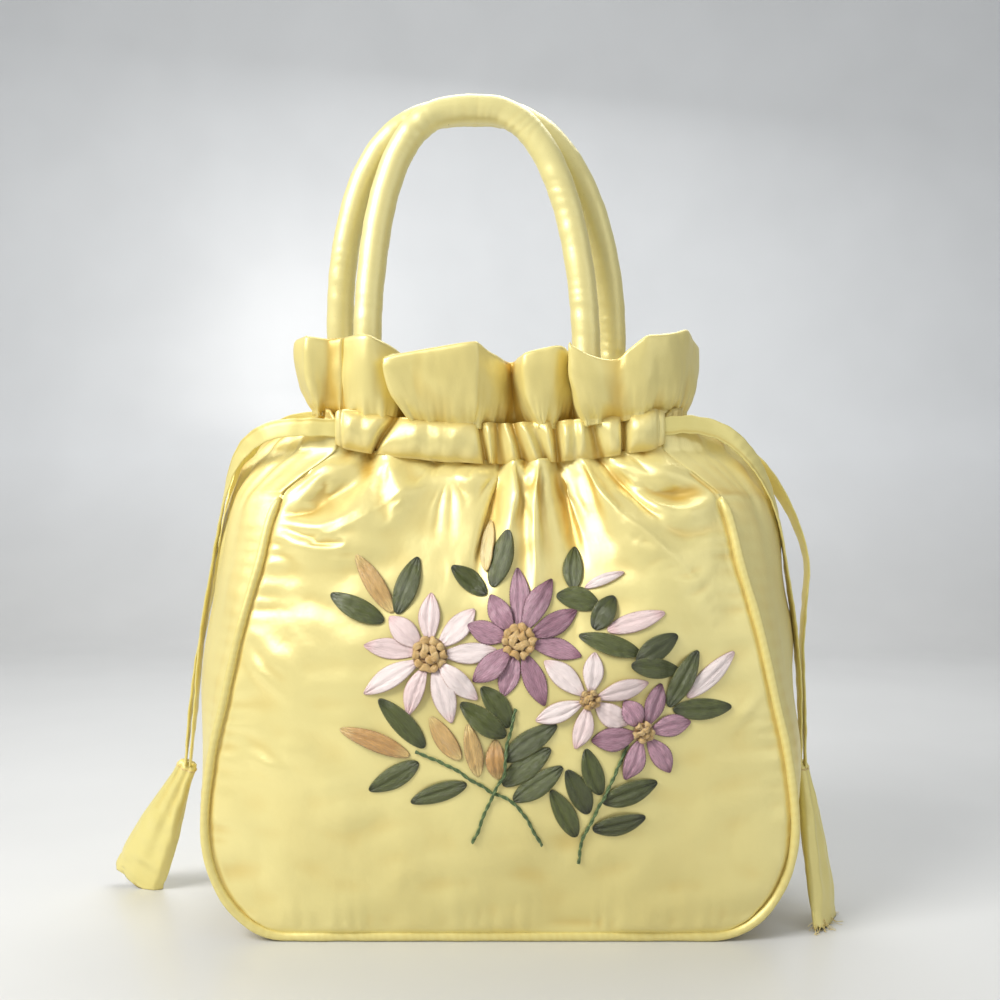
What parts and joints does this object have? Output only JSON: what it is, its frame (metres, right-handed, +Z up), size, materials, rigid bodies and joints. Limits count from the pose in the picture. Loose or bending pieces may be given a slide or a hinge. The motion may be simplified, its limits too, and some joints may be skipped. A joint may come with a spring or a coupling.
{
  "type": "embroidered drawstring handbag",
  "caption": "Small satin handbag with piped side panels, a drawstring neck under a ruffle, stuffed tube handles and a spray of ribbon flowers on the front.",
  "frame": {"origin": "middle of the flat base, at the height of the surface that the bag stands on", "axes": "+Z up towards the handles, -Y the embroidered front, +X to the right as the front is looked at"},
  "size_m": [0.2941, 0.1066, 0.3294],
  "materials": {
    "satin": "satin weave, soft sheen",
    "satin_piping": "satin weave drawn over cord",
    "satin_strap": "folded satin strap",
    "ribbon_leaf": "thin woven ribbon",
    "ribbon_tan": "thin woven ribbon",
    "ribbon_pale": "thin woven ribbon",
    "ribbon_mauve": "thin woven ribbon",
    "stem_thread": "twisted thread"
  },
  "bodies": {
    "root": {"front_panel": "satin", "back_panel": "satin", "gusset": "satin", "piping_front": "satin_piping", "piping_back": "satin_piping", "casing_front": "satin", "casing_back": "satin", "ruffle": "satin", "handle_front": "satin", "handle_back": "satin", "drawstring_left_front": "satin_strap", "drawstring_left_back": "satin_strap", "drawstring_right_front": "satin_strap", "drawstring_right_back": "satin_strap", "tie_end_left": "satin_strap", "tie_end_right": "satin_strap", "leaf_1": "ribbon_leaf", "leaf_2": "ribbon_leaf", "leaf_3": "ribbon_leaf", "leaf_4": "ribbon_leaf", "leaf_5": "ribbon_leaf", "leaf_6": "ribbon_leaf", "leaf_7": "ribbon_leaf", "leaf_8": "ribbon_leaf", "leaf_9": "ribbon_leaf", "leaf_10": "ribbon_leaf", "leaf_11": "ribbon_leaf", "leaf_12": "ribbon_leaf", "leaf_13": "ribbon_leaf", "leaf_14": "ribbon_leaf", "leaf_15": "ribbon_leaf", "leaf_16": "ribbon_leaf", "leaf_17": "ribbon_leaf", "leaf_18": "ribbon_leaf", "leaf_19": "ribbon_leaf", "leaf_20": "ribbon_leaf", "leaf_21": "ribbon_leaf", "leaf_22": "ribbon_leaf", "leaf_23": "ribbon_leaf", "leaf_24": "ribbon_leaf", "leaf_25": "ribbon_leaf", "tan_bud_1": "ribbon_tan", "tan_bud_2": "ribbon_tan", "tan_bud_3": "ribbon_tan", "tan_bud_4": "ribbon_tan", "tan_bud_5": "ribbon_tan", "tan_bud_6": "ribbon_tan", "pink_bud_1": "ribbon_pale", "pink_bud_2": "ribbon_pale", "pink_bud_3": "ribbon_pale", "stem_1": "stem_thread", "stem_2": "stem_thread", "stem_3": "stem_thread", "flower_white_left": "ribbon_pale", "flower_white_right": "ribbon_pale", "flower_mauve_small": "ribbon_mauve", "flower_mauve_large": "ribbon_mauve"}
  },
  "joints": []
}
